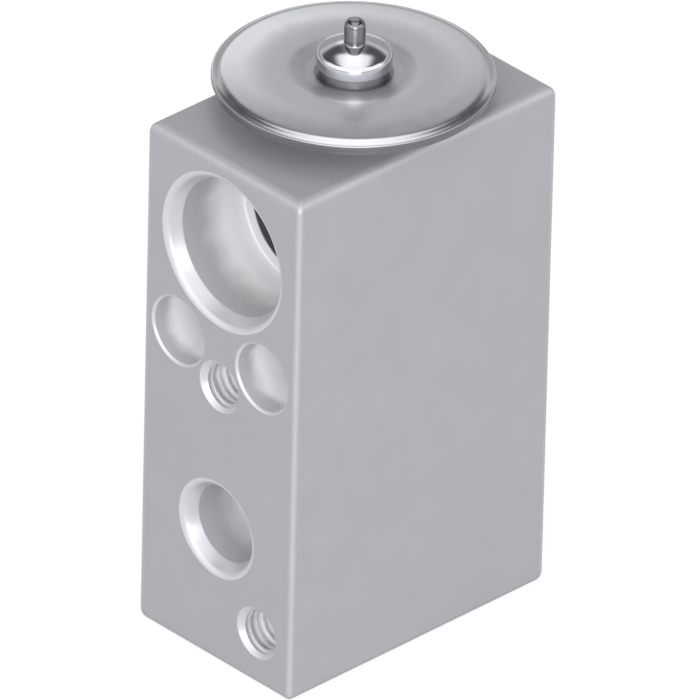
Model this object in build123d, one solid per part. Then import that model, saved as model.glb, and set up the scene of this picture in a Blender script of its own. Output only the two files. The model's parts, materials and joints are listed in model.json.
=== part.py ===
from build123d import *
import math
import os

# Thermostatic expansion valve of the block kind used in vehicle air conditioning.
# Millimetres. The origin is the middle of the block's foot and Z is up. The lines from the compressor and
# the condenser plug into the -Y face, and the lines to the evaporator into the +Y face.

# Block
block_width = 25.0
block_depth = 40.0
block_height = 66.0
upright_edge_round = 0.5
end_edge_round = 1.2

# Suction line: a socket on each face and a narrower passage between them. A flare is how much wider a
# mouth is than its hole, all round
suction_below_top = 11.7
suction_socket_radius = 8.4
suction_mouth_flare = 0.95
suction_mouth_depth = 1.8
suction_socket_depth = 11.3
suction_passage_radius = 7.0

# Liquid inlet on the port face, and the outlet to the evaporator on the other face
inlet_height = 17.7
inlet_socket_radius = 4.8
inlet_mouth_flare = 0.9
inlet_mouth_depth = 1.8
inlet_socket_depth = 10.0
inlet_passage_radius = 3.0
outlet_socket_radius = 6.2
outlet_mouth_flare = 0.9
outlet_mouth_depth = 1.8
outlet_socket_depth = 10.0
outlet_passage_radius = 3.4
outlet_passage_overrun = 0.5

# Two long bolts clamp the line flanges, and two tapped holes take studs
bolt_below_suction = 13.45
bolt_spacing = 13.8
bolt_hole_radius = 4.1
bolt_mouth_chamfer = 0.25
stud_thread_radius = 3.0
stud_mouth_flare = 0.2
stud_mouth_depth = 0.4
stud_thread_length = 10.0
stud_drill_radius = 2.5
stud_drill_depth = 12.0
drill_tip_angle = 118.0
centre_stud_below_bolts = 4.25
foot_stud_offset = 6.95
foot_stud_height = 7.0

# Valve chamber, seat and ball
chamber_radius = 6.0
chamber_roof_above_inlet = 0.3
orifice_radius = 1.5
seat_mouth_radius = 1.95
orifice_length = 2.1
ball_radius = 2.4
valve_stroke = 0.6

# Adjusting screw and its seal
screw_thread_radius = 7.0
screw_mouth_chamfer = 0.6
seal_lead_chamfer = 0.5
screw_travel = 1.0
screw_end_gap = 0.4
screw_recess = 1.3
screw_thread_length = 5.3
screw_nose_length = 5.9
screw_edge_chamfer = 0.5
hexagon_across_flats = 6.0
hexagon_depth = 3.4
screw_groove_radius = 4.75
screw_groove_width = 1.9
screw_groove_below_nose = 1.0

# Valve spring, standing in the adjusting screw. Its closed turns at both ends lie almost on each other
spring_radius = 3.3
spring_wire_radius = 0.5
spring_active_turns = 3.5
spring_closed_turns = 1.0
spring_floor_above_hexagon = 1.9

# Ball holder and damping spring
holder_mouth_radius = 2.2
holder_cup_radius = 3.1
holder_cup_height = 1.1
holder_pocket_radius = 0.8
holder_shoulder_radius = 4.4
holder_shoulder_thickness = 1.0
holder_pilot_length = 1.9
holder_chamfer = 0.25
damper_thickness = 0.3
damper_ring_setback = 0.3
damper_leg_count = 4
damper_leg_sweep = 38.0
damper_leg_drop = 1.8
damper_leg_tuck = 0.35
damper_tuck_height = 0.5
damper_bend_round = 0.8

# Operating rod, its seal and the sensing rod
rod_radius = 1.2
rod_tip_radius = 0.9
rod_tip_above_orifice = 1.2
rod_grip_length = 3.6
rod_chamfer = 0.2
seal_pocket_radius = 3.0
seal_pocket_depth = 3.1
retainer_hole_radius = 1.5
retainer_thickness = 1.2
sensing_rod_radius = 3.5
sensing_rod_chamfer = 0.8
sensing_rod_above_floor = 1.3
sensing_spigot_radius = 2.4
sensing_spigot_length = 2.6

# Head below the rim: neck, lower cover and stop disc
neck_thread_radius = 7.0
neck_length = 4.4
neck_end_gap = 0.6
neck_chamfer = 0.6
neck_hole_radius = 4.6
equalising_hole_radius = 4.5
seal_groove_width = 2.1
seal_groove_depth = 1.5
lower_cover_sheet = 1.0
lower_cover_wall_run = 2.7
lower_cover_bend_round = 0.8
lower_cover_flange = 0.5
lower_cover_setback = 0.25
stop_side_gap = 0.6
stop_hub_length = 2.0
stop_hub_gap = 0.3
stop_edge_round = 0.3

# Diaphragm, clamped between the covers in a ring inside the rim's welded lip
diaphragm_thickness = 0.15
diaphragm_dish = 0.55
diaphragm_bend_round = 2.5
clamp_width = 2.3
clamp_to_bend = 0.6
stop_edge_margin = 0.6

# Upper cover, from the rim inwards
rim_above_block = 3.25
rim_radius = 16.15
rim_thickness = 0.7
rim_edge_round = 0.14
rim_lip_width = 0.85
rim_ledge = 0.2
shoulder_run = 0.75
shoulder_rise = 0.68
shoulder_round = 2.5
cover_sheet = 0.5
cover_dish_run = 5.2
cover_dish_depth = 0.13
cover_moat_bank = 1.5
cover_moat_width = 1.15
cover_moat_depth = 0.14
cover_moat_round = 2.0

# Charge plug: spigot through the cover, undercut, domed button and pin
plug_spigot_radius = 2.0
plug_undercut_depth = 0.35
plug_undercut_height = 0.95
plug_button_radius = 4.35
plug_wall_height = 1.6
plug_dome_height = 1.2
plug_edge_round = 0.12
pin_radius = 1.23
pin_length = 2.9
pin_tip_round = 0.75

# Clearances
running_gap = 0.05
close_gap = 0.01
seat_gap = 0.02
spring_gap = 0.15
cut_overrun = 1.0
wall_share_for_rounds = 0.995

# Places that follow from the sizes above
half_depth = block_depth / 2
root_two = math.sqrt(2)
tip_rise = 1 / math.tan(math.radians(drill_tip_angle / 2))
suction_height = block_height - suction_below_top
suction_floor = suction_height - suction_passage_radius
bolt_height = suction_height - bolt_below_suction
centre_stud_height = bolt_height - centre_stud_below_bolts
chamber_roof = inlet_height + inlet_passage_radius + chamber_roof_above_inlet
orifice_top = chamber_roof + orifice_length
outlet_height = orifice_top + outlet_passage_radius

# The ball lies against a seat and in a cup that are both cut at 45 degrees
ball_height = chamber_roof + seat_mouth_radius - root_two * (ball_radius + seat_gap)
holder_cup_apex = ball_height - root_two * (ball_radius + close_gap)
holder_top = holder_cup_apex + holder_mouth_radius
holder_shoulder_top = holder_top - holder_cup_height
holder_shoulder_bottom = holder_shoulder_top - holder_shoulder_thickness
holder_pilot_radius = spring_radius - spring_wire_radius - spring_gap
damper_ring_radius = holder_shoulder_radius - damper_ring_setback
spring_top = holder_shoulder_bottom - damper_thickness

# The screw stands in its middle position, with the spring in its recess
hexagon_top = screw_recess + hexagon_depth
spring_floor = hexagon_top + spring_floor_above_hexagon
spring_recess_radius = spring_radius + spring_wire_radius + spring_gap
screw_thread_top = screw_recess + screw_thread_length
screw_bore_depth = screw_thread_top + screw_travel + screw_end_gap
screw_nose_top = screw_thread_top + screw_nose_length
screw_nose_radius = chamber_radius - running_gap
screw_groove_top = screw_nose_top - screw_groove_below_nose

# Rods
seal_pocket_floor = suction_floor - seal_pocket_depth
rod_seal_section = (seal_pocket_radius - rod_radius) / 2 - close_gap
retainer_floor = seal_pocket_floor + 2 * rod_seal_section
sensing_rod_bottom = suction_floor + sensing_rod_above_floor

# Radii of the head, from the rim inwards
lower_cover_flange_radius = rim_radius - lower_cover_setback
diaphragm_radius = rim_radius - rim_lip_width
diaphragm_clamp_radius = diaphragm_radius - clamp_width
lower_cover_bend_radius = diaphragm_clamp_radius + clamp_to_bend
lower_cover_foot_radius = lower_cover_bend_radius - lower_cover_wall_run
stop_radius = lower_cover_foot_radius - lower_cover_sheet / 2 - stop_side_gap
stop_hub_radius = neck_hole_radius - stop_hub_gap
diaphragm_flat_radius = stop_radius - stop_edge_margin
shoulder_foot_radius = rim_radius - rim_ledge
shoulder_corner_radius = shoulder_foot_radius - shoulder_run
cover_dish_radius = shoulder_corner_radius - cover_dish_run
cover_moat_radius = plug_button_radius + cover_moat_width
cover_moat_rim_radius = cover_moat_radius + cover_moat_bank
plug_undercut_radius = plug_button_radius - plug_undercut_depth

# Heights of the head, from the block upwards
cover_floor = block_height + lower_cover_sheet
clamp_height = block_height + rim_above_block
stop_top = clamp_height - diaphragm_dish
stop_bottom = cover_floor + valve_stroke + running_gap
stop_hub_bottom = stop_bottom - stop_hub_length
rim_top = clamp_height + rim_thickness
shoulder_top = rim_top + shoulder_rise
cover_dish_height = shoulder_top - cover_dish_depth
cover_middle = cover_dish_height - cover_moat_depth
plug_undercut_top = cover_middle + plug_undercut_height
plug_wall_top = plug_undercut_top + plug_wall_height
plug_dome_top = plug_wall_top + plug_dome_height


def room_beside(corner, neighbour):
    """Length of the wall between two corners, or half of it where the neighbour has a round too."""
    wall = wall_share_for_rounds * math.dist(corner[:2], neighbour[:2])
    return wall / 2 if len(neighbour) == 3 else wall


def fitting_round(before, corner, after):
    """The round at a corner, kept within what the walls on both sides of it leave room for."""
    if len(corner) < 3:
        return 0
    coming = Vector(*corner[:2]) - Vector(*before[:2])
    going = Vector(*after[:2]) - Vector(*corner[:2])
    half_bend = math.radians(coming.get_angle(going)) / 2
    room = min(room_beside(corner, before), room_beside(corner, after))
    return min(corner[2], room / math.tan(half_bend))


def turned(*corners):
    """Solid turned about Z. A corner is (radius, height), or (radius, height, round)."""
    points = [corner[:2] for corner in corners]
    following = corners[1:] + corners[:1]
    rounds = [fitting_round(corners[n - 1], corner, following[n]) for n, corner in enumerate(corners)]
    outline = FilletPolyline(*points, radius=rounds, close=True)
    return revolve(Plane.XZ * make_face(outline), Axis.Z)


def disc(radius, low, high):
    """Plain cylinder about Z between two heights."""
    return Pos(0, 0, low) * Cylinder(radius, high - low, align=(Align.CENTER, Align.CENTER, Align.MIN))


def port_cutter(mouth_flare, mouth_depth, socket_radius, socket_depth, passage_radius, passage_depth):
    """Chamfered socket and passage with a drilled end, running along +Z from a mouth at the origin."""
    return turned(
        (0, -cut_overrun),
        (socket_radius + mouth_flare, -cut_overrun),
        (socket_radius + mouth_flare, 0),
        (socket_radius, mouth_depth),
        (socket_radius, socket_depth),
        (passage_radius, socket_depth),
        (passage_radius, passage_depth),
        (0, passage_depth + passage_radius * tip_rise),
    )


def suction_cutter():
    """One half of the suction line, which reaches past the block's middle."""
    return port_cutter(
        suction_mouth_flare,
        suction_mouth_depth,
        suction_socket_radius,
        suction_socket_depth,
        suction_passage_radius,
        half_depth,
    )


def inlet_cutter():
    return port_cutter(
        inlet_mouth_flare,
        inlet_mouth_depth,
        inlet_socket_radius,
        inlet_socket_depth,
        inlet_passage_radius,
        half_depth - inlet_passage_radius,
    )


def outlet_cutter():
    return port_cutter(
        outlet_mouth_flare,
        outlet_mouth_depth,
        outlet_socket_radius,
        outlet_socket_depth,
        outlet_passage_radius,
        half_depth + outlet_passage_overrun,
    )


def bolt_cutter():
    """Half of a through hole, with a light chamfer at its mouth."""
    return turned(
        (0, -cut_overrun),
        (bolt_hole_radius + bolt_mouth_chamfer, -cut_overrun),
        (bolt_hole_radius + bolt_mouth_chamfer, 0),
        (bolt_hole_radius, bolt_mouth_chamfer),
        (bolt_hole_radius, half_depth),
        (0, half_depth),
    )


def stud_cutter():
    """Tapped hole with a chamfered mouth and the drill's cone beyond the thread."""
    return turned(
        (0, -cut_overrun),
        (stud_thread_radius + stud_mouth_flare, -cut_overrun),
        (stud_thread_radius + stud_mouth_flare, 0),
        (stud_thread_radius, stud_mouth_depth),
        (stud_thread_radius, stud_thread_length),
        (stud_drill_radius, stud_thread_length),
        (stud_drill_radius, stud_drill_depth),
        (0, stud_drill_depth + stud_drill_radius * tip_rise),
    )


def from_port_face(cutter, x, height):
    return Pos(x, -half_depth, height) * Rot(-90, 0, 0) * cutter


def from_back_face(cutter, x, height):
    return Pos(x, half_depth, height) * Rot(90, 0, 0) * cutter


def foot_cutter():
    """Bore for the adjusting screw, valve chamber, seat and orifice, from the foot upwards."""
    return turned(
        (0, -cut_overrun),
        (screw_thread_radius + screw_mouth_chamfer, -cut_overrun),
        (screw_thread_radius + screw_mouth_chamfer, 0),
        (screw_thread_radius, screw_mouth_chamfer),
        (screw_thread_radius, screw_bore_depth),
        (chamber_radius + seal_lead_chamfer, screw_bore_depth),
        (chamber_radius, screw_bore_depth + seal_lead_chamfer),
        (chamber_radius, chamber_roof),
        (seat_mouth_radius, chamber_roof),
        (orifice_radius, chamber_roof + seat_mouth_radius - orifice_radius),
        (orifice_radius, outlet_height),
        (0, outlet_height),
    )


def head_cutter():
    """Seal groove, threaded bore for the neck, and the hole that lets the suction gas reach the head."""
    neck_bore_bottom = block_height - neck_length - neck_end_gap
    groove_floor = block_height - seal_groove_depth
    groove_radius = neck_thread_radius + seal_groove_width
    return turned(
        (0, block_height + cut_overrun),
        (groove_radius, block_height + cut_overrun),
        (groove_radius, groove_floor),
        (neck_thread_radius, groove_floor),
        (neck_thread_radius, neck_bore_bottom),
        (equalising_hole_radius, neck_bore_bottom),
        (equalising_hole_radius, suction_height),
        (0, suction_height),
    )


def rod_cutter():
    """Guide hole for the operating rod and the pocket for its seal."""
    guide_radius = rod_radius + running_gap
    return turned(
        (0, outlet_height),
        (guide_radius, outlet_height),
        (guide_radius, seal_pocket_floor),
        (seal_pocket_radius, seal_pocket_floor),
        (seal_pocket_radius, suction_height),
        (0, suction_height),
    )


def rounded_prism(plane, across, along, corner_round, length):
    """Bar with rounded corners, running both ways from the plane."""
    return extrude(plane * RectangleRounded(across, along, corner_round), length / 2, both=True)


def valve_block():
    middle = (0, 0, block_height / 2)
    seen_from_above = Plane(middle, x_dir=(1, 0, 0), z_dir=(0, 0, 1))
    seen_from_front = Plane(middle, x_dir=(1, 0, 0), z_dir=(0, -1, 0))
    seen_from_side = Plane(middle, x_dir=(0, 1, 0), z_dir=(1, 0, 0))
    bar = rounded_prism(seen_from_above, block_width, block_depth, upright_edge_round, block_height)
    bar &= rounded_prism(seen_from_front, block_width, block_height, end_edge_round, block_depth)
    bar &= rounded_prism(seen_from_side, block_depth, block_height, end_edge_round, block_width)
    bar -= from_port_face(suction_cutter(), 0, suction_height)
    bar -= from_back_face(suction_cutter(), 0, suction_height)
    bar -= from_port_face(inlet_cutter(), 0, inlet_height)
    bar -= from_back_face(outlet_cutter(), 0, outlet_height)
    for side in (-1, 1):
        bolt_x = side * bolt_spacing / 2
        bar -= from_port_face(bolt_cutter(), bolt_x, bolt_height)
        bar -= from_back_face(bolt_cutter(), bolt_x, bolt_height)
    bar -= from_port_face(stud_cutter(), 0, centre_stud_height)
    bar -= from_port_face(stud_cutter(), foot_stud_offset, foot_stud_height)
    bar -= foot_cutter()
    bar -= head_cutter()
    bar -= rod_cutter()
    return bar


def adjusting_screw():
    """Plug with a hexagon socket below, a seal groove on its nose and a recess for the spring above."""
    thread_radius = screw_thread_radius - running_gap
    body = turned(
        (0, screw_recess),
        (thread_radius - screw_edge_chamfer, screw_recess),
        (thread_radius, screw_recess + screw_edge_chamfer),
        (thread_radius, screw_thread_top),
        (screw_nose_radius, screw_thread_top),
        (screw_nose_radius, screw_groove_top - screw_groove_width),
        (screw_groove_radius, screw_groove_top - screw_groove_width),
        (screw_groove_radius, screw_groove_top),
        (screw_nose_radius, screw_groove_top),
        (screw_nose_radius, screw_nose_top - screw_edge_chamfer),
        (screw_nose_radius - screw_edge_chamfer, screw_nose_top),
        (spring_recess_radius, screw_nose_top),
        (spring_recess_radius, spring_floor),
        (0, spring_floor),
    )
    socket = RegularPolygon(hexagon_across_flats / 2, 6, major_radius=False)
    return body - extrude(Pos(0, 0, screw_recess) * socket, hexagon_depth)


def seal_ring(section_radius, ring_radius, height):
    return Pos(0, 0, height) * Torus(ring_radius, section_radius)


def screw_o_ring():
    section = (chamber_radius - screw_groove_radius) / 2
    height = screw_groove_top - screw_groove_width / 2
    return seal_ring(section - close_gap, screw_groove_radius + section, height)


def coil(turns, rise, turns_below, rise_below):
    """Helix of the spring's wire that carries on from the turns below it."""
    return (Pos(0, 0, rise_below) * Rot(0, 0, 360 * turns_below) * Helix(rise / turns, rise, spring_radius)).edge()


def valve_spring():
    """Round wire coil whose end turns are closed and ground flat."""
    length = spring_top - spring_floor
    closed_rise = spring_closed_turns * (2 * spring_wire_radius + running_gap)
    open_rise = length - 2 * closed_rise
    turns_to_top = spring_closed_turns + spring_active_turns
    path = Wire([
        coil(spring_closed_turns, closed_rise, 0, 0),
        coil(spring_active_turns, open_rise, spring_closed_turns, closed_rise),
        coil(spring_closed_turns, closed_rise, turns_to_top, closed_rise + open_rise),
    ])
    wire_end = Plane(path @ 0, z_dir=path % 0)
    wire = sweep(wire_end * Circle(spring_wire_radius), path=path, is_frenet=True)
    outside = spring_radius + 2 * spring_wire_radius
    return Pos(0, 0, spring_floor) * (wire & disc(outside, 0, length))


def ball_holder():
    """Cup for the ball on a shoulder, with a pilot inside the spring."""
    pocket_floor = holder_cup_apex + holder_pocket_radius
    pilot_bottom = holder_shoulder_bottom - holder_pilot_length
    return turned(
        (0, pilot_bottom),
        (holder_pilot_radius - holder_chamfer, pilot_bottom),
        (holder_pilot_radius, pilot_bottom + holder_chamfer),
        (holder_pilot_radius, holder_shoulder_bottom),
        (holder_shoulder_radius, holder_shoulder_bottom),
        (holder_shoulder_radius, holder_shoulder_top, holder_chamfer),
        (holder_cup_radius, holder_shoulder_top),
        (holder_cup_radius, holder_top, holder_chamfer),
        (holder_mouth_radius, holder_top),
        (holder_pocket_radius, pocket_floor),
        (0, pocket_floor),
    )


def damping_spring():
    """Flat ring under the holder's shoulder with legs that bend down and rub on the chamber's wall."""
    wall = chamber_radius - running_gap
    inner_wall = wall - damper_thickness
    ring_bottom = holder_shoulder_bottom - damper_thickness
    leg_bottom = holder_shoulder_bottom - damper_leg_drop
    bend_height = leg_bottom + damper_tuck_height
    root_radius = (holder_pilot_radius + damper_ring_radius) / 2
    leg_outline = FilletPolyline(
        (root_radius, ring_bottom),
        (inner_wall, ring_bottom),
        (inner_wall, bend_height),
        (inner_wall - damper_leg_tuck, leg_bottom),
        (wall - damper_leg_tuck, leg_bottom),
        (wall, bend_height),
        (wall, holder_shoulder_bottom),
        (root_radius, holder_shoulder_bottom),
        radius=[0, damper_bend_round - damper_thickness, 0, 0, 0, 0, damper_bend_round, 0],
        close=True,
    )
    leg = revolve(Plane.XZ * make_face(leg_outline), Axis.Z, damper_leg_sweep)
    ring = disc(damper_ring_radius, ring_bottom, holder_shoulder_bottom)
    hole_radius = holder_pilot_radius + running_gap
    spring = ring - disc(hole_radius, ring_bottom - cut_overrun, holder_shoulder_bottom + cut_overrun)
    step = 360 / damper_leg_count
    for number in range(damper_leg_count):
        spring += Rot(0, 0, (number + 0.5) * step - damper_leg_sweep / 2) * leg
    return spring


def operating_rod():
    """Thin rod from the ball to the sensing rod, with a slimmer tip in the orifice."""
    ball_top = ball_height + ball_radius
    step = orifice_top + rod_tip_above_orifice
    top = sensing_rod_bottom + rod_grip_length
    return turned(
        (0, ball_top),
        (rod_tip_radius, ball_top),
        (rod_tip_radius, step),
        (rod_radius, step + rod_radius - rod_tip_radius),
        (rod_radius, top - rod_chamfer),
        (rod_radius - rod_chamfer, top),
        (0, top),
    )


def rod_seal_retainer():
    return disc(seal_pocket_radius - close_gap, retainer_floor, retainer_floor + retainer_thickness) - disc(
        retainer_hole_radius, retainer_floor - cut_overrun, retainer_floor + retainer_thickness + cut_overrun
    )


def sensing_rod():
    """Rod across the suction passage, with a blind hole for the operating rod and a spigot for the stop."""
    hole_radius = rod_radius + close_gap
    hole_top = sensing_rod_bottom + rod_grip_length
    spigot_top = stop_hub_bottom + sensing_spigot_length
    return turned(
        (hole_radius, sensing_rod_bottom),
        (sensing_rod_radius - sensing_rod_chamfer, sensing_rod_bottom),
        (sensing_rod_radius, sensing_rod_bottom + sensing_rod_chamfer),
        (sensing_rod_radius, stop_hub_bottom),
        (sensing_spigot_radius, stop_hub_bottom),
        (sensing_spigot_radius, spigot_top),
        (0, spigot_top),
        (0, hole_top),
        (hole_radius, hole_top),
    )


def diaphragm_stop():
    """Disc under the diaphragm on a hub that slides in the neck."""
    hole_radius = sensing_spigot_radius + close_gap
    hole_top = stop_hub_bottom + sensing_spigot_length
    return turned(
        (hole_radius, stop_hub_bottom),
        (stop_hub_radius, stop_hub_bottom, stop_edge_round),
        (stop_hub_radius, stop_bottom),
        (stop_radius, stop_bottom, stop_edge_round),
        (stop_radius, stop_top, stop_edge_round),
        (0, stop_top),
        (0, hole_top),
        (hole_radius, hole_top),
    )


def head_lower_cover():
    """Dish with a flange at the top and the threaded neck below."""
    thread_radius = neck_thread_radius - running_gap
    neck_bottom = block_height - neck_length
    flange_bottom = clamp_height - lower_cover_flange
    inner_foot_radius = lower_cover_foot_radius - lower_cover_sheet / 2
    inner_bend_radius = lower_cover_bend_radius - lower_cover_sheet / 2
    return turned(
        (neck_hole_radius, neck_bottom),
        (thread_radius - neck_chamfer, neck_bottom),
        (thread_radius, neck_bottom + neck_chamfer),
        (thread_radius, block_height),
        (lower_cover_foot_radius, block_height, lower_cover_bend_round),
        (lower_cover_bend_radius, flange_bottom, lower_cover_bend_round),
        (lower_cover_flange_radius, flange_bottom),
        (lower_cover_flange_radius, clamp_height),
        (inner_bend_radius, clamp_height, lower_cover_bend_round / 2),
        (inner_foot_radius, cover_floor, lower_cover_bend_round / 2),
        (neck_hole_radius, cover_floor),
    )


def diaphragm():
    """Thin sheet, flat over the stop disc and clamped flat at the rim."""
    top = clamp_height + diaphragm_thickness
    return turned(
        (0, stop_top),
        (diaphragm_flat_radius, stop_top, diaphragm_bend_round),
        (diaphragm_clamp_radius, clamp_height, diaphragm_bend_round),
        (diaphragm_radius, clamp_height),
        (diaphragm_radius, top),
        (diaphragm_clamp_radius, top, diaphragm_bend_round),
        (diaphragm_flat_radius, stop_top + diaphragm_thickness, diaphragm_bend_round),
        (0, stop_top + diaphragm_thickness),
    )


def head_upper_cover():
    """Pressing with a thin rim, a rounded shoulder, a slightly dished top and a shallow moat."""
    clamp_top = clamp_height + diaphragm_thickness
    edge_radius = diaphragm_radius + running_gap
    hole_radius = plug_spigot_radius + close_gap
    return turned(
        (edge_radius, clamp_height),
        (rim_radius, clamp_height, rim_edge_round),
        (rim_radius, rim_top, rim_edge_round),
        (shoulder_foot_radius, rim_top),
        (shoulder_corner_radius, shoulder_top, shoulder_round),
        (cover_dish_radius, cover_dish_height),
        (cover_moat_rim_radius, cover_dish_height, cover_moat_round),
        (cover_moat_radius, cover_middle, cover_moat_round),
        (hole_radius, cover_middle),
        (hole_radius, cover_middle - cover_sheet),
        (cover_moat_radius, cover_middle - cover_sheet),
        (cover_moat_rim_radius, cover_dish_height - cover_sheet),
        (cover_dish_radius, cover_dish_height - cover_sheet),
        (shoulder_corner_radius - cover_sheet, shoulder_top - cover_sheet, shoulder_round / 4),
        (shoulder_corner_radius - cover_sheet / 2, clamp_top),
        (edge_radius, clamp_top),
    )


def charge_plug():
    """Domed button with a round-ended pin, on a spigot that closes the cover's middle hole."""
    spigot_bottom = cover_middle - cover_sheet
    stem = turned(
        (0, spigot_bottom),
        (plug_spigot_radius, spigot_bottom),
        (plug_spigot_radius, cover_middle),
        (plug_undercut_radius, cover_middle),
        (plug_undercut_radius, plug_wall_top),
        (0, plug_wall_top),
    )
    dome_radius = (plug_button_radius**2 + plug_dome_height**2) / (2 * plug_dome_height)
    dome = Pos(0, 0, plug_dome_top - dome_radius) * Sphere(dome_radius)
    button = disc(plug_button_radius, plug_undercut_top, plug_dome_top) & dome
    rims = [edge for edge in button.edges() if edge.is_closed]
    pin_top = plug_dome_top + pin_length
    pin = turned(
        (0, plug_wall_top),
        (pin_radius, plug_wall_top),
        (pin_radius, pin_top, pin_tip_round),
        (0, pin_top),
    )
    return stem + fillet(rims, plug_edge_round) + pin


def head_o_ring():
    section = seal_groove_depth / 2
    ring_radius = neck_thread_radius + section
    return seal_ring(section - close_gap, ring_radius, block_height - section)


def rod_o_ring():
    ring_radius = (seal_pocket_radius + rod_radius) / 2
    return seal_ring(rod_seal_section, ring_radius, seal_pocket_floor + rod_seal_section)


def valve_ball():
    return Pos(0, 0, ball_height) * Sphere(ball_radius)


pieces = {
    "valve_block": valve_block(),
    "adjusting_screw": adjusting_screw(),
    "screw_o_ring": screw_o_ring(),
    "valve_spring": valve_spring(),
    "damping_spring": damping_spring(),
    "ball_holder": ball_holder(),
    "valve_ball": valve_ball(),
    "operating_rod": operating_rod(),
    "rod_o_ring": rod_o_ring(),
    "rod_seal_retainer": rod_seal_retainer(),
    "sensing_rod": sensing_rod(),
    "diaphragm_stop": diaphragm_stop(),
    "head_o_ring": head_o_ring(),
    "head_lower_cover": head_lower_cover(),
    "diaphragm": diaphragm(),
    "head_upper_cover": head_upper_cover(),
    "charge_plug": charge_plug(),
}

os.makedirs("parts", exist_ok=True)
for name, piece in pieces.items():
    export_step(piece, f"parts/{name}.step")
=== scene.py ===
import json
import math

import bmesh
import bpy
from mathutils import Matrix, Vector


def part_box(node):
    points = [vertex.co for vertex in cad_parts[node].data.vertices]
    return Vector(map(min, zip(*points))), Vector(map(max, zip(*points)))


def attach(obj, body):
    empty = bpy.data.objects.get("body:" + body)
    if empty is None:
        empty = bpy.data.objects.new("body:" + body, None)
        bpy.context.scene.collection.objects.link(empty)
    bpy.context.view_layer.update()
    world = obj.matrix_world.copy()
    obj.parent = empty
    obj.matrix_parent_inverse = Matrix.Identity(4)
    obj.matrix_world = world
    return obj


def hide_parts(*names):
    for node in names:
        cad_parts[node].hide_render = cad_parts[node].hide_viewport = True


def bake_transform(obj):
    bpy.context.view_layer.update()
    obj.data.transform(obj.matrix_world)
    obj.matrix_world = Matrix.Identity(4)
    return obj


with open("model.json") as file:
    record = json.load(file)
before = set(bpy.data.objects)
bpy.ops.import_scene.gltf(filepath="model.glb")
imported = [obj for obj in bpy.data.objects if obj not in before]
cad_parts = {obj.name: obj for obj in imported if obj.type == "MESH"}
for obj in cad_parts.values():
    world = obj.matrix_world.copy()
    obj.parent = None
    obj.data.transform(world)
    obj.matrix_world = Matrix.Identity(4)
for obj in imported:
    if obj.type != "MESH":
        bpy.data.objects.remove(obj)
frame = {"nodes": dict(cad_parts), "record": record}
nodes = frame["nodes"]
mounts = {mount["name"]: mount for mount in frame["record"]["mounts"]}
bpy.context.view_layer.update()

# Pieces are drawn in millimetres and scaled to metres when they are finished
MM = 0.001
ARC_STEP = math.radians(6)

# The block, with the rounds of its upright edges and of the edges of its two ends
block_low, block_high = (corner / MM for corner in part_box("valve_block"))
block_size = block_high - block_low
block_height = block_size.z
half_depth = block_size.y / 2
upright_round = 0.5
end_round = 1.2

# The head: its rim, the fall of its crown towards the rim, and the plug with its wall, dome and pin
rim_radius = -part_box("head_upper_cover")[0].x / MM
rim_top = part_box("head_upper_cover")[0].z / MM + 0.7
crown_fall = 0.005
plug_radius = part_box("charge_plug")[1].x / MM
plug_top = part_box("charge_plug")[1].z / MM
wall_foot = plug_top - 5.7
wall_top = plug_top - 4.1
dome_top = plug_top - 2.9
pin_radius = 1.23

# The valve spring
spring_wire = 0.5
spring_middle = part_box("valve_spring")[1].x / MM - spring_wire
spring_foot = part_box("valve_spring")[0].z / MM
spring_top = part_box("valve_spring")[1].z / MM

# Cutters: the slope of a drill's tip, how far they stand out of the block, how deep chamfers go
drill_tip = 1 / math.tan(math.radians(59))
overrun = 1.5
chamfer_reach = 1.9


def line_of(mesh, corners, closed=False):
    """Joins corners (radius, height) with straight lines. A third number rounds that corner."""
    dots = [mesh.verts.new((corner[0], 0, corner[1])) for corner in corners]
    last = len(dots) if closed else len(dots) - 1
    for place in range(last):
        mesh.edges.new((dots[place], dots[(place + 1) % len(dots)]))
    for place, corner in enumerate(corners):
        if len(corner) < 3:
            continue
        here = Vector(corner[:2])
        coming = here - Vector(corners[place - 1][:2])
        going = Vector(corners[(place + 1) % len(corners)][:2]) - here
        bend = coming.angle(going)
        bmesh.ops.bevel(
            mesh,
            geom=[dots[place]],
            offset=corner[2] * math.tan(bend / 2),
            offset_type="OFFSET",
            segments=max(2, round(bend / ARC_STEP)),
            profile=0.5,
            affect="VERTICES",
            material=-1,
        )


def spun(corners, around=128, closed=False):
    """Shape turned about Z from corners that run from axis to axis, or close on themselves."""
    mesh = bmesh.new()
    line_of(mesh, corners, closed)
    bmesh.ops.spin(
        mesh,
        geom=mesh.verts[:] + mesh.edges[:],
        cent=(0, 0, 0),
        axis=(0, 0, 1),
        dvec=(0, 0, 0),
        angle=math.tau,
        steps=around,
        use_merge=True,
        use_duplicate=False,
    )
    bmesh.ops.remove_doubles(mesh, verts=mesh.verts[:], dist=0.0005)
    bmesh.ops.recalc_face_normals(mesh, faces=mesh.faces[:])
    return mesh


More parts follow.
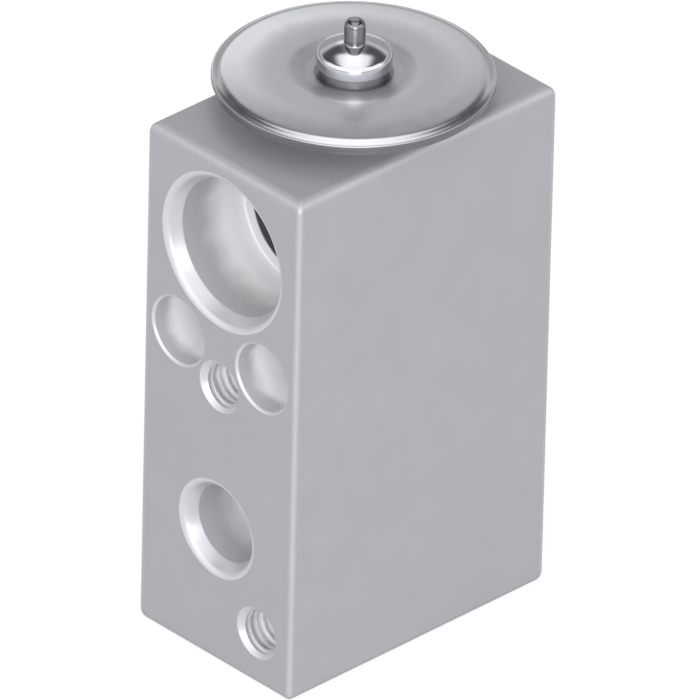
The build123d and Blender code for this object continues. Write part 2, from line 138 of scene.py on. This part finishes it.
def thread_tool(root, crest, pitch, length, around=64):
    """Screw-shaped cutter about Z, from one turn below 0 to past the length, with pointed ends."""
    mesh = bmesh.new()
    flat = pitch / 8
    line_of(
        mesh,
        [
            (root, -pitch),
            (root, flat - pitch),
            (crest, pitch / 2 - flat / 2 - pitch),
            (crest, pitch / 2 + flat / 2 - pitch),
            (root, -flat),
            (root, 0),
        ],
    )
    turns = math.ceil(length / pitch) + 1
    bmesh.ops.spin(
        mesh,
        geom=mesh.verts[:] + mesh.edges[:],
        cent=(0, 0, 0),
        axis=(0, 0, 1),
        dvec=(0, 0, pitch / around),
        angle=math.tau * turns,
        steps=around * turns,
        use_merge=False,
        use_duplicate=False,
    )
    bmesh.ops.remove_doubles(mesh, verts=mesh.verts[:], dist=0.0005)
    rims = [edge for edge in mesh.edges if edge.is_boundary]
    made = bmesh.ops.extrude_edge_only(mesh, edges=rims)["geom"]
    tips = [part for part in made if isinstance(part, bmesh.types.BMVert)]
    lower = [tip for tip in tips if tip.co.z < pitch * turns / 2]
    upper = [tip for tip in tips if tip.co.z > pitch * turns / 2]
    bmesh.ops.pointmerge(mesh, verts=lower, merge_co=(0, 0, -pitch / 2))
    bmesh.ops.pointmerge(mesh, verts=upper, merge_co=(0, 0, pitch * (turns - 0.5)))
    bmesh.ops.recalc_face_normals(mesh, faces=mesh.faces[:])
    if mesh.calc_volume(signed=True) < 0:
        bmesh.ops.reverse_faces(mesh, faces=mesh.faces[:])
    return mesh


def turn_to(mesh, direction, place):
    """Points the shape's +Z along the direction and moves its origin to the place."""
    turn = Vector((0, 0, 1)).rotation_difference(Vector(direction)).to_matrix()
    bmesh.ops.rotate(mesh, verts=mesh.verts[:], cent=(0, 0, 0), matrix=turn)
    bmesh.ops.translate(mesh, verts=mesh.verts[:], vec=place)
    return mesh


def raw_piece(mesh, name, *finishes):
    """Object that still has its millimetres."""
    data = bpy.data.meshes.new(name)
    mesh.to_mesh(data)
    mesh.free()
    for finish in finishes:
        data.materials.append(finish)
    piece = bpy.data.objects.new(name, data)
    bpy.context.scene.collection.objects.link(piece)
    return piece


def finished(piece, crease=32):
    """Bakes the modifiers, closes the seams and scales to metres.

    Edges that turn by more than the crease stay sharp.
    """
    graph = bpy.context.evaluated_depsgraph_get()
    data = bpy.data.meshes.new_from_object(piece.evaluated_get(graph), depsgraph=graph)
    mesh = bmesh.new()
    mesh.from_mesh(data)
    bmesh.ops.remove_doubles(mesh, verts=mesh.verts[:], dist=0.0001)
    bmesh.ops.scale(mesh, verts=mesh.verts[:], vec=(MM, MM, MM))
    mesh.to_mesh(data)
    mesh.free()
    data.shade_smooth()
    data.set_sharp_from_angle(angle=math.radians(crease))
    piece.modifiers.clear()
    piece.data = data
    weigh = piece.modifiers.new("even_normals", "WEIGHTED_NORMAL")
    weigh.keep_sharp = True
    return piece


class Value:
    """A number, colour or vector on its way through a finish, with its sums."""

    def __init__(self, finish, socket):
        self.finish = finish
        self.socket = socket

    def __add__(self, other):
        return self.finish.maths("ADD", self, other)

    def __sub__(self, other):
        return self.finish.maths("SUBTRACT", self, other)

    def __rsub__(self, other):
        return self.finish.maths("SUBTRACT", other, self)

    def __mul__(self, other):
        return self.finish.maths("MULTIPLY", self, other)

    def __pow__(self, other):
        return self.finish.maths("POWER", self, other)

    def __abs__(self):
        return self.finish.maths("ABSOLUTE", self)

    __radd__ = __add__
    __rmul__ = __mul__


class Finish:
    """The nodes of one material or of the world."""

    def __init__(self, owner):
        owner.use_nodes = True
        self.owner = owner
        self.tree = owner.node_tree
        self.tree.nodes.clear()

    def node(self, kind, settings=None, sockets=None, output=0):
        """Adds a node, sets it, then fills its sockets with plain values or links."""
        made = self.tree.nodes.new(kind)
        for name, setting in (settings or {}).items():
            setattr(made, name, setting)
        for name, given in (sockets or {}).items():
            if isinstance(given, Value):
                self.tree.links.new(given.socket, made.inputs[name])
            else:
                made.inputs[name].default_value = given
        return Value(self, made.outputs[output])

    def maths(self, operation, *values):
        return self.node("ShaderNodeMath", {"operation": operation}, dict(enumerate(values)))

    def along(self, direction, way):
        """How far a direction points along another."""
        sockets = {0: direction, 1: way}
        return self.node("ShaderNodeVectorMath", {"operation": "DOT_PRODUCT"}, sockets, "Value")

    def place(self):
        """Object coordinates in millimetres."""
        sockets = {0: self.node("ShaderNodeTexCoord", output="Object"), "Scale": 1 / MM}
        return self.node("ShaderNodeVectorMath", {"operation": "SCALE"}, sockets)

    def split(self, vector):
        """The three numbers of a vector."""
        first = self.node("ShaderNodeSeparateXYZ", None, {0: vector})
        parts = first.socket.node.outputs
        return [Value(self, part) for part in parts]

    def joined(self, x, y, z):
        return self.node("ShaderNodeCombineXYZ", None, {0: x, 1: y, 2: z})

    def noise(self, place, scale, detail=2.0, roughness=0.5):
        sockets = {"Vector": place, "Scale": scale, "Detail": detail, "Roughness": roughness}
        return self.node("ShaderNodeTexNoise", None, sockets)

    def step(self, value, low, high):
        """0 below low, 1 above high and smooth between."""
        sockets = {"Value": value, "From Min": low, "From Max": high}
        return self.node("ShaderNodeMapRange", {"interpolation_type": "SMOOTHSTEP"}, sockets)

    def blend(self, share, first, second):
        """First colour at share 0, second at 1."""
        sockets = {0: share, 6: first, 7: second}
        return self.node("ShaderNodeMix", {"data_type": "RGBA"}, sockets, output=2)

    def bump(self, height, depth):
        """Relief of that depth in millimetres where the height goes from 0 to 1."""
        return self.node("ShaderNodeBump", None, {"Height": height, "Distance": depth * MM})

    def metal(self, colour, roughness, normal, metallic=1.0):
        sockets = {"Base Color": colour, "Roughness": roughness, "Metallic": metallic}
        shader = self.node("ShaderNodeBsdfPrincipled", None, sockets | {"Normal": normal})
        self.node_out("ShaderNodeOutputMaterial", shader)
        return self.owner

    def node_out(self, kind, shader):
        end = self.tree.nodes.new(kind)
        self.tree.links.new(shader.socket, end.inputs["Surface"])


def new_finish(name):
    return Finish(bpy.data.materials.new(name))


def grey(level, blue=1.06):
    """Metal grey with a slightly cool cast."""
    return (level, level * (1 + (blue - 1) / 4), level * blue, 1)


def blasted_aluminium():
    """Extruded bar, cut and blasted: fine matt grain, faint clouds, and edges lightened, partly by
    real wear and partly as a painted highlight.
    """
    finish = new_finish("blasted_aluminium")
    place = finish.place()
    grain = finish.noise(place, 4.0, 3.0, 0.6)
    clouds = finish.noise(place, 0.22, 3.0)
    x, y, z = finish.split(place)
    to_side = block_size.x / 2 - abs(x)
    to_port = half_depth - abs(y)
    to_end = block_height / 2 - abs(z - block_height / 2)
    nearest = finish.maths("MINIMUM", to_side, to_port)
    farther = finish.maths("MAXIMUM", to_side, to_port)
    to_edge = finish.maths("MAXIMUM", nearest, finish.maths("MINIMUM", farther, to_end))
    # Lighter edges: partly worn metal, partly a painted highlight of the rounded edges.
    edge_wear_and_highlight = 1 - finish.step(to_edge + clouds * 0.5, 0.25, 1.1)
    tone = clouds * 0.5 + grain * 0.5
    colour = finish.blend(tone, grey(0.38), grey(0.455))
    colour = finish.blend(edge_wear_and_highlight * 0.5, colour, grey(0.62))
    roughness = 0.5 + grain * 0.1 - edge_wear_and_highlight * 0.14
    return finish.metal(colour, roughness, finish.bump(grain, 0.012), metallic=0.5)


def bored_aluminium(name, level, rough, metallic, dull=1.0, deep=1.0, mouth_depth=6.5):
    """Cut walls with fine rings across the port's axis.

    Painted shade: the first millimetres of the wall are darker, and the narrow passage beyond the
    socket is dark.
    """
    finish = new_finish(name)
    place = finish.place()
    x, y, z = finish.split(place)
    rings = finish.noise(finish.joined(x * 0.05, y * 6.0, z * 0.05), 1.0, 3.0, 0.6)
    clouds = finish.noise(place, 0.35, 2.0)
    depth = half_depth - abs(y)
    inside = finish.step(depth + clouds * 2.0, mouth_depth * 0.75, mouth_depth * 1.5)
    beyond = finish.step(depth, 11.2, 11.5)
    colour = finish.blend(rings, grey(level * 0.94, 1.02), grey(level, 1.02))
    # Painted shade: the wall near the mouth is darkened by the dull factor and the passage beyond
    # the socket by the deep factor.
    colour = finish.blend(1 - inside, colour, grey(level * dull, 1.04))
    colour = finish.blend(beyond, colour, grey(level * deep, 1.04))
    return finish.metal(colour, rough + rings * 0.12, finish.bump(rings, 0.01), metallic)


def pressed_stainless():
    """Pressed sheet with faint rings from polishing and a light mottle.

    The plug is smoother. Its stem and the dimple are darkened as painted shade,
    the pin as a painted dark reflection, and the rim's outer wall is dark grey.
    """
    finish = new_finish("pressed_stainless")
    place = finish.place()
    x, y, z = finish.split(place)
    radius = (x * x + y * y) ** 0.5
    rings = finish.noise(finish.joined(radius * 3.0, z * 3.0, 0.0), 1.0, 3.0, 0.6)
    mottle = finish.noise(place, 0.5, 3.0)
    # Dark grey for the painted shade on the plug's stem and for the rim's wall; the pin grey is a
    # painted reflection, the dimple grey painted shade.
    dark_grey, painted_pin_grey, dimple_shade_grey = grey(0.12), grey(0.22), grey(0.34)

    on_plug = finish.step(radius, plug_radius + 0.3, plug_radius + 0.1)
    # Painted shade: the plug's stem below its wall is made dark, for the shade under the button.
    under_plug_shade = on_plug * finish.step(z, wall_foot + 0.05, wall_foot - 0.05)
    # The pin is darkened as a painted dark reflection in its flanks.
    on_pin = finish.step(z, dome_top - 0.1, dome_top + 0.1) * finish.step(radius, 1.4, 1.3)
    # The rim's outer wall is made dark grey and rougher.
    on_rim = finish.step(radius, rim_radius - 0.45, rim_radius - 0.35)
    on_rim = on_rim * finish.step(z, rim_top - 0.03, rim_top - 0.12)
    # Painted shade: the dimple around the plug is darkened a little.
    in_dimple = finish.step(radius, 7.5, 5.5) * (1 - on_plug)
    dull = finish.step(radius, 13.0, 9.0) * (1 - on_plug)

    colour = finish.blend(rings * 0.4 + mottle * 0.6, grey(0.52), grey(0.66))
    # Painted shade on the plug's stem.
    colour = finish.blend(under_plug_shade * 0.7, colour, dark_grey)
    # Painted dark reflection on the pin.
    colour = finish.blend(on_pin, colour, painted_pin_grey)
    colour = finish.blend(on_rim * 0.8, colour, dark_grey)
    # Painted shade in the dimple.
    colour = finish.blend(in_dimple * 0.25, colour, dimple_shade_grey)
    roughness = 0.15 + mottle * 0.1 + dull * 0.15 + in_dimple * 0.1 - on_plug * 0.06
    roughness = roughness + (under_plug_shade + on_rim) * 0.2
    relief = rings * 0.5 + mottle * 0.5
    return finish.metal(colour, roughness, finish.bump(relief, 0.004))


def turned_metal(name, dark, light, rough):
    """Turned on a lathe about the valve's axis: fine rings on walls and end faces."""
    finish = new_finish(name)
    place = finish.place()
    x, y, z = finish.split(place)
    radius = (x * x + y * y) ** 0.5
    rings = finish.noise(finish.joined(radius * 5.0, z * 5.0, 0.0), 1.0, 2.0, 0.6)
    clouds = finish.noise(place, 0.4, 2.0)
    colour = finish.blend(rings * 0.5 + clouds * 0.5, dark, light)
    return finish.metal(colour, rough + rings * 0.12, finish.bump(rings, 0.006))


def drawn_wire():
    finish = new_finish("spring_steel")
    place = finish.place()
    streaks = finish.noise(place, 1.6, 3.0)
    colour = finish.blend(streaks, grey(0.30), grey(0.46))
    return finish.metal(colour, 0.28 + streaks * 0.16, finish.bump(streaks, 0.004))


def polished_ball():
    finish = new_finish("polished_ball")
    haze = finish.noise(finish.place(), 0.8, 2.0)
    colour = finish.blend(haze, grey(0.70), grey(0.78))
    return finish.metal(colour, 0.05 + haze * 0.05, finish.bump(haze, 0.0005))


def seal_rubber():
    finish = new_finish("seal_rubber")
    place = finish.place()
    bloom = finish.noise(place, 1.2, 3.0)
    colour = finish.blend(bloom, (0.012, 0.018, 0.015, 1), (0.035, 0.045, 0.04, 1))
    return finish.metal(colour, 0.5 + bloom * 0.2, finish.bump(bloom, 0.006), metallic=0.0)


dark_brass = (0.50, 0.33, 0.11, 1)
light_brass = (0.62, 0.43, 0.17, 1)
finishes = {
    "blasted_aluminium": blasted_aluminium(),
    "turned_aluminium": turned_metal("turned_aluminium", grey(0.46), grey(0.60), 0.24),
    "pressed_stainless": pressed_stainless(),
    "turned_steel": turned_metal("turned_steel", grey(0.36), grey(0.48), 0.24),
    "spring_steel": drawn_wire(),
    "polished_ball": polished_ball(),
    "turned_brass": turned_metal("turned_brass", dark_brass, light_brass, 0.22),
    "seal_rubber": seal_rubber(),
}
# Bores and drilled holes get painted shade near their mouths; the bores' passage beyond the socket
# is painted dark.
bored = bored_aluminium("bored_aluminium", 0.99, 0.4, 0.0, dull=0.44, deep=0.12)
drilled = bored_aluminium("drilled_aluminium", 0.99, 0.34, 0.1, dull=0.5, mouth_depth=3.0)
chamfered = bored_aluminium("chamfered_aluminium", 0.62, 0.3, 0.5)

for subpart in frame["record"]["subparts"]:
    node = nodes[subpart["node"]]
    node.data.materials.clear()
    node.data.materials.append(finishes[subpart["material_slot"]])


def mouth(radius, chamfer_radius, depth, soft):
    """Start of a cutter's line: its chamfer, and a soft round where it meets the face."""
    flare = chamfer_radius + 0.7 * soft + 0.1
    return [
        (0, -overrun),
        (flare, -overrun),
        (flare, -0.03),
        (chamfer_radius, 0, soft),
        (radius, depth, soft / 3),
    ]


def facing(mesh, x, height, from_back=False):
    """Sets a tool into the port face or the back face. Its chamfer gets the second finish."""
    for face in mesh.faces:
        sloped = 0.2 < abs(face.normal.z) < 0.98
        face.material_index = int(sloped and face.calc_center_median().z < chamfer_reach)
    side = 1 if from_back else -1
    return turn_to(mesh, (0, -side, 0), (x, side * half_depth, height))


def port_tool(name, flare, socket_depth, passage_radius, passage_depth, from_back=False):
    """Chamfer, socket and passage of a line, by its mount."""
    mount = mounts[name]
    radius = mount["dims"]["r_mm"]
    line = mouth(radius, radius + flare, depth=1.8, soft=1.1) + [
        (radius, socket_depth, 0.3),
        (passage_radius, socket_depth, 0.15),
        (passage_radius, passage_depth),
        (0, passage_depth + passage_radius * drill_tip),
    ]
    return facing(spun(line), 0, mount["pos_m"][2] / MM, from_back)


def through_hole(x, height):
    """Plain hole through the block with a light chamfer at both mouths."""
    radius = mounts["clamp_bolts"]["dims"]["hole_r_mm"]
    depth = block_size.y
    chamfer = 0.25
    start = mouth(radius, radius + chamfer, chamfer, chamfer)
    far = [(corner[0], depth - corner[1], *corner[2:]) for corner in reversed(start)]
    return facing(spun(start + far, 96), x, height)


def tapped_hole(mount):
    """Chamfered hole and its thread, as two tools."""
    x, y, height = (value / MM for value in mount["pos_m"])
    crest = mount["dims"]["r_mm"]
    pitch = 1.0
    root = crest - 0.5
    flare = 0.2
    depth = 12.0
    drill = mouth(root, crest + flare, depth=crest + flare - root, soft=0.2)
    drill += [(root, depth), (0, depth + root * drill_tip)]
    thread = thread_tool(root - 0.02, crest, pitch, 9.0)
    return [facing(spun(drill, 96), x, height), facing(thread, x, height)]


def port_tools():
    """Both ends of the suction passage, the liquid inlet and the outlet to the evaporator."""
    suction = {
        "flare": 0.95,
        "socket_depth": 11.3,
        "passage_radius": 7.0,
        "passage_depth": half_depth,
    }
    return [
        port_tool("suction_outlet", **suction),
        port_tool("suction_inlet", **suction, from_back=True),
        port_tool(
            "liquid_inlet",
            flare=0.9,
            socket_depth=10.0,
            passage_radius=3.0,
            passage_depth=half_depth - 3.0,
        ),
        port_tool(
            "evaporator_outlet",
            flare=0.9,
            socket_depth=10.0,
            passage_radius=3.4,
            passage_depth=half_depth + 0.5,
            from_back=True,
        ),
    ]


def hole_tools():
    """Two holes for the clamping bolts and two tapped holes, all from the port face."""
    bolts = mounts["clamp_bolts"]
    across = bolts["dims"]["spacing_x_mm"] / 2
    tools = [through_hole(side * across, bolts["pos_m"][2] / MM) for side in (-1, 1)]
    for name in ("centre_stud", "foot_stud"):
        tools += tapped_hole(mounts[name])
    return tools


def upright_tools():
    """Bores on the valve's axis: screw bore, chamber and orifice, then neck bore, then rod hole."""
    screw_bore = 7.0
    screw_bore_depth = 8.0
    chamber = 6.0
    chamber_roof = 21.0
    seat_mouth = 1.95
    orifice = 1.5
    outlet_height = 26.5
    rod_guide = 1.25
    seal_pocket = 3.0
    seal_pocket_floor = 44.2
    suction_height = 54.3
    gas_hole = 4.5
    neck_bore = 7.0
    neck_bore_floor = block_height - 5.0
    groove = 9.1
    groove_floor = block_height - 1.5
    foot = spun(
        [
            (0, -overrun),
            (screw_bore + 0.8, -overrun),
            (screw_bore + 0.8, -0.03),
            (screw_bore + 0.6, 0, 0.2),
            (screw_bore, 0.6, 0.1),
            (screw_bore, screw_bore_depth),
            (chamber + 0.5, screw_bore_depth),
            (chamber, screw_bore_depth + 0.5),
            (chamber, chamber_roof),
            (seat_mouth, chamber_roof),
            (orifice, chamber_roof + seat_mouth - orifice),
            (orifice, outlet_height),
            (0, outlet_height),
        ]
    )
    neck = spun(
        [
            (0, block_height + overrun),
            (groove + 0.3, block_height + overrun),
            (groove + 0.3, block_height + 0.03),
            (groove, block_height, 0.2),
            (groove, groove_floor),
            (neck_bore, groove_floor),
            (neck_bore, neck_bore_floor),
            (gas_hole, neck_bore_floor),
            (gas_hole, suction_height),
            (0, suction_height),
        ]
    )
    rod = spun(
        [
            (0, outlet_height),
            (rod_guide, outlet_height),
            (rod_guide, seal_pocket_floor),
            (seal_pocket, seal_pocket_floor),
            (seal_pocket, suction_height),
            (0, suction_height),
        ],
        64,
    )
    return [foot, neck, rod]


def block():
    """The bar with its rounded edges, less every bore."""
    mesh = bmesh.new()
    bmesh.ops.create_cube(mesh, size=1.0)
    bmesh.ops.scale(mesh, verts=mesh.verts[:], vec=block_size)
    bmesh.ops.translate(mesh, verts=mesh.verts[:], vec=(0, 0, block_height / 2))
    weight = mesh.edges.layers.float.new("bevel_weight_edge")
    for edge in mesh.edges:
        upright = abs(edge.verts[0].co.z - edge.verts[1].co.z) > 1
        edge[weight] = upright_round / end_round if upright else 1.0
    bar = raw_piece(mesh, "block_body", finishes["blasted_aluminium"], bored, chamfered)
    rounds = bar.modifiers.new("edge_rounds", "BEVEL")
    rounds.limit_method = "WEIGHT"
    rounds.width = end_round
    rounds.segments = 8
    tools = [raw_piece(mesh, "tool", bored, chamfered) for mesh in port_tools()]
    for mesh in hole_tools() + upright_tools():
        tools.append(raw_piece(mesh, "tool", drilled, chamfered))
    for tool in tools:
        cut = bar.modifiers.new("cut", "BOOLEAN")
        cut.object = tool
        cut.operation = "DIFFERENCE"
        cut.solver = "EXACT"
        cut.material_mode = "TRANSFER"
    finished(bar)
    for tool in tools:
        bpy.data.objects.remove(tool)
    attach(bar, "housing")
    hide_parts("valve_block")


def on_head(mesh, name, stands_for):
    """Finished stainless piece in the place of a solid of the head."""
    piece = finished(raw_piece(mesh, name, finishes["pressed_stainless"]))
    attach(piece, "housing")
    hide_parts(stands_for)


def upper_cover():
    """Pressing from the rim over its shoulder to the slightly crowned top and the plug's dimple."""
    low, high = (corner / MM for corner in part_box("head_upper_cover"))
    foot = low.z
    top = high.z
    dimple = top - 0.4
    plug_hole = 2.01
    underside = top - 0.6
    crown_radii = [15.2, 14.6, 14.0, 13.2, 12.4, 11.6, 10.8, 10.0, 9.2, 8.4]
    crown = [(radius, top - crown_fall * (radius - crown_radii[-1]) ** 2) for radius in crown_radii]
    line = [
        (rim_radius - 0.8, foot),
        (rim_radius, foot, 0.14),
        (rim_radius, rim_top, 0.14),
        (rim_radius - 0.2, rim_top),
        (*crown[0], 1.7),
        *crown[1:],
        (7.3, top - 0.01, 3.0),
        (5.5, dimple, 1.0),
        (plug_hole, dimple),
        (plug_hole, dimple - 0.4),
        (5.5, dimple - 0.4),
        (7.0, underside),
        (10.0, underside),
        (rim_radius - 1.45, underside + 0.05),
        (rim_radius - 1.2, foot + 0.15),
        (rim_radius - 0.8, foot + 0.15),
    ]
    on_head(spun(line, 192, closed=True), "upper_cover", "head_upper_cover")


def plug():
    """Domed button with a round-ended pin, on a stem that is welded into the dimple."""
    stem_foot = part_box("charge_plug")[0].z / MM
    stem = 2.0
    undercut = stem_foot + 0.35
    height = dome_top - wall_top
    dome_radius = (plug_radius**2 + height**2) / (2 * height)
    middle = dome_top - dome_radius
    from_pin = math.asin(pin_radius / dome_radius)
    to_wall = math.asin((plug_radius - 0.45) / dome_radius)
    bends = [to_wall + (from_pin - to_wall) * step / 12 for step in range(13)]
    dome = [(dome_radius * math.sin(bend), middle + dome_radius * math.cos(bend)) for bend in bends]
    line = [
        (0, stem_foot),
        (stem, stem_foot),
        (stem, undercut),
        (plug_radius - 0.4, undercut),
        (plug_radius - 0.5, wall_foot),
        (plug_radius, wall_foot, 0.12),
        (plug_radius, wall_top, 0.8),
        *dome,
        (pin_radius, plug_top, 0.75),
        (0, plug_top),
    ]
    on_head(spun(line), "plug", "charge_plug")


def closed_off(mesh):
    """Puts a face on each open end of the wire."""
    rims = [edge for edge in mesh.edges if edge.is_boundary]
    bmesh.ops.holes_fill(mesh, edges=rims, sides=0)
    bmesh.ops.recalc_face_normals(mesh, faces=mesh.faces[:])
    return mesh


def wound_wire(height, turned, runs):
    """Round wire wound about Z, from a height and an angle on.

    Each run has its number of turns and the height that it climbs.
    """
    mesh = bmesh.new()
    centre = (0, 0, 0)
    upright = Matrix.Rotation(math.pi / 2, 3, "X")
    start = Matrix.Rotation(math.tau * turned, 3, "Z")
    bmesh.ops.create_circle(mesh, segments=24, radius=spring_wire)
    bmesh.ops.rotate(mesh, verts=mesh.verts[:], cent=centre, matrix=upright)
    bmesh.ops.translate(mesh, verts=mesh.verts[:], vec=(spring_middle, 0, height))
    bmesh.ops.rotate(mesh, verts=mesh.verts[:], cent=centre, matrix=start)
    ring = mesh.verts[:] + mesh.edges[:]
    for turns, climb in runs:
        steps = round(48 * turns)
        made = bmesh.ops.spin(
            mesh,
            geom=ring,
            cent=centre,
            axis=(0, 0, 1),
            dvec=(0, 0, climb / steps),
            angle=math.tau * turns,
            steps=steps,
            use_merge=False,
            use_duplicate=False,
        )
        ring = made["geom_last"]
    bmesh.ops.remove_doubles(mesh, verts=mesh.verts[:], dist=0.0005)
    return closed_off(mesh)


def ground_flat(mesh, height, outwards):
    """Grinds the wire's end flat at a height. Outwards is -1 at the foot and 1 at the top."""
    bmesh.ops.bisect_plane(
        mesh,
        geom=mesh.verts[:] + mesh.edges[:] + mesh.faces[:],
        dist=0.0001,
        plane_co=(0, 0, height),
        plane_no=(0, 0, outwards),
        clear_outer=True,
    )
    return closed_off(mesh)


def spring_half(mesh, name):
    """Finished half of the valve spring."""
    piece = finished(raw_piece(mesh, name, finishes["spring_steel"]))
    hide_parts("valve_spring")
    return piece


def valve_spring():
    """Coil in two halves that meet in mid height: one from the foot up, the other from there to the
    top.
    """
    closed = (1.0, 2 * spring_wire + 0.05)
    middle = (spring_foot + spring_top) / 2
    half_open = (1.75, middle - spring_foot - closed[1])
    foot_wire = wound_wire(spring_foot, 0, (closed, half_open))
    head_wire = wound_wire(middle, closed[0] + half_open[0], (half_open, closed))
    foot_half = spring_half(ground_flat(foot_wire, spring_foot, -1), "spring_foot_half")
    head_half = spring_half(ground_flat(head_wire, spring_top, 1), "spring_head_half")
    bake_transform(foot_half)
    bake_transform(head_half)


def floor():
    """Plain pale floor that stays white to the camera and in the metal, and keeps the shadow."""
    mesh = bmesh.new()
    bmesh.ops.create_grid(mesh, x_segments=1, y_segments=1, size=4000)
    finish = new_finish("floor_paper")
    lights = finish.node("ShaderNodeLightPath", output="Is Camera Ray")
    glossy = Value(finish, lights.socket.node.outputs["Is Glossy Ray"])
    through = Value(finish, lights.socket.node.outputs["Is Transmission Ray"])
    seen = finish.maths("MAXIMUM", finish.maths("MAXIMUM", lights, through), glossy * 0.6)
    tint = finish.noise(finish.place(), 0.02, 2.0)
    paper = finish.blend(tint, grey(0.60, 1), grey(0.62, 1))
    matt = finish.node("ShaderNodeBsdfDiffuse", None, {"Color": paper})
    white = finish.node("ShaderNodeEmission", None, {"Color": (1, 1, 1, 1), "Strength": 1.2})
    mixed = finish.node("ShaderNodeMixShader", None, {0: seen * 0.72, 1: matt, 2: white})
    finish.node_out("ShaderNodeOutputMaterial", mixed)
    sheet = finished(raw_piece(mesh, "floor", finish.owner))


def soft_light(name, place, width, power):
    """Square panel of light, in metres, that faces the middle of the block."""
    lamp = bpy.data.lights.new(name, "AREA")
    lamp.shape = "SQUARE"
    lamp.size = width
    lamp.energy = power
    holder = bpy.data.objects.new(name, lamp)
    bpy.context.scene.collection.objects.link(holder)
    middle = Vector((0, 0, 0.035))
    aim = (middle - Vector(place)).to_track_quat("-Z", "Y").to_matrix().to_4x4()
    holder.matrix_world = Matrix.Translation(place) @ aim


# The photograph's angle, in radians, and its camera's lens and place, in millimetres
photo_azimuth = 0.800624
photo_elevation = 0.548472
photo_roll = 0.024083
photo_lens = 1223.66
photo_place = (1.0009, 28.4817, 2719.71)
towards_camera = Vector((math.sin(photo_azimuth), -math.cos(photo_azimuth), 0))
beside_camera = Vector((math.cos(photo_azimuth), math.sin(photo_azimuth), 0))


def studio():
    """Room with a broad screen in front, a bright panel overhead and a pale wall behind.

    The wall has a narrow bright window, and beside it dark wings higher up.
    """
    world = bpy.data.worlds.new("studio")
    bpy.context.scene.world = world
    finish = Finish(world)
    direction = finish.node("ShaderNodeTexCoord", output="Generated")
    up = finish.split(direction)[2]
    front = finish.along(direction, towards_camera)
    beside = finish.along(direction, beside_camera)
    side = abs(beside)
    behind = finish.step(front, 0.1, -0.3)
    not_in_front = 1 - finish.step(front, 0.15, 0.35)

    narrow = 1 - finish.step(abs(beside + 0.1), 0.07, 0.17) * 0.7
    window = finish.step(up, 0.36, 0.44) * (1 - finish.step(up, 0.49, 0.57)) * narrow
    wall = 0.3 + window * 1.05 - finish.step(up, 0.52, 0.62) * 0.1
    wings = finish.step(side, 0.08, 0.26) * finish.step(up, 0.5, 0.6)
    above = finish.step(up, 0.68, 0.8) * not_in_front
    screen = finish.step(up, 0.02, 0.15) * (1 - above) * (beside * 0.1 + 1.31)
    panel = finish.step(front, -0.54, -0.46) * (1 - finish.step(side, 0.26, 0.42))
    panel = panel * finish.step(up, 0.6, 0.7) * not_in_front * 1.32
    level = 0.2 + behind * (wall * (1 - wings)) - behind * wings * 0.1
    level = level + (1 - behind) * screen + panel

    camera = finish.node("ShaderNodeLightPath", output="Is Camera Ray")
    strength = level * (1 - camera) + camera
    sockets = {"Color": (1, 1, 1, 1), "Strength": strength}
    finish.node_out("ShaderNodeOutputWorld", finish.node("ShaderNodeBackground", None, sockets))


def photo_camera():
    """Camera fitted to the outline, the ports and the front corner in the photograph."""
    back = towards_camera * math.cos(photo_elevation) + Vector((0, 0, math.sin(photo_elevation)))
    level_up = back.cross(beside_camera)
    across = beside_camera * math.cos(photo_roll) + level_up * math.sin(photo_roll)
    upwards = level_up * math.cos(photo_roll) - beside_camera * math.sin(photo_roll)
    lens = bpy.data.cameras.new("photo_camera")
    lens.sensor_width = 36
    lens.lens = photo_lens
    holder = bpy.data.objects.new("photo_camera", lens)
    bpy.context.scene.collection.objects.link(holder)
    turn = Matrix((across, upwards, back)).transposed().to_4x4()
    place = (across * photo_place[0] + upwards * photo_place[1] + back * photo_place[2]) * MM
    holder.matrix_world = Matrix.Translation(place) @ turn
    bpy.context.scene.camera = holder


block()
upper_cover()
plug()
valve_spring()
floor()
studio()
soft_light("left_fill", (0.15, -0.85, 0.55), 0.6, 0.5)
soft_light("front_panel", (0.66, -0.58, 0.26), 0.5, 2.7)
photo_camera()
bpy.context.scene.view_settings.view_transform = "Standard"
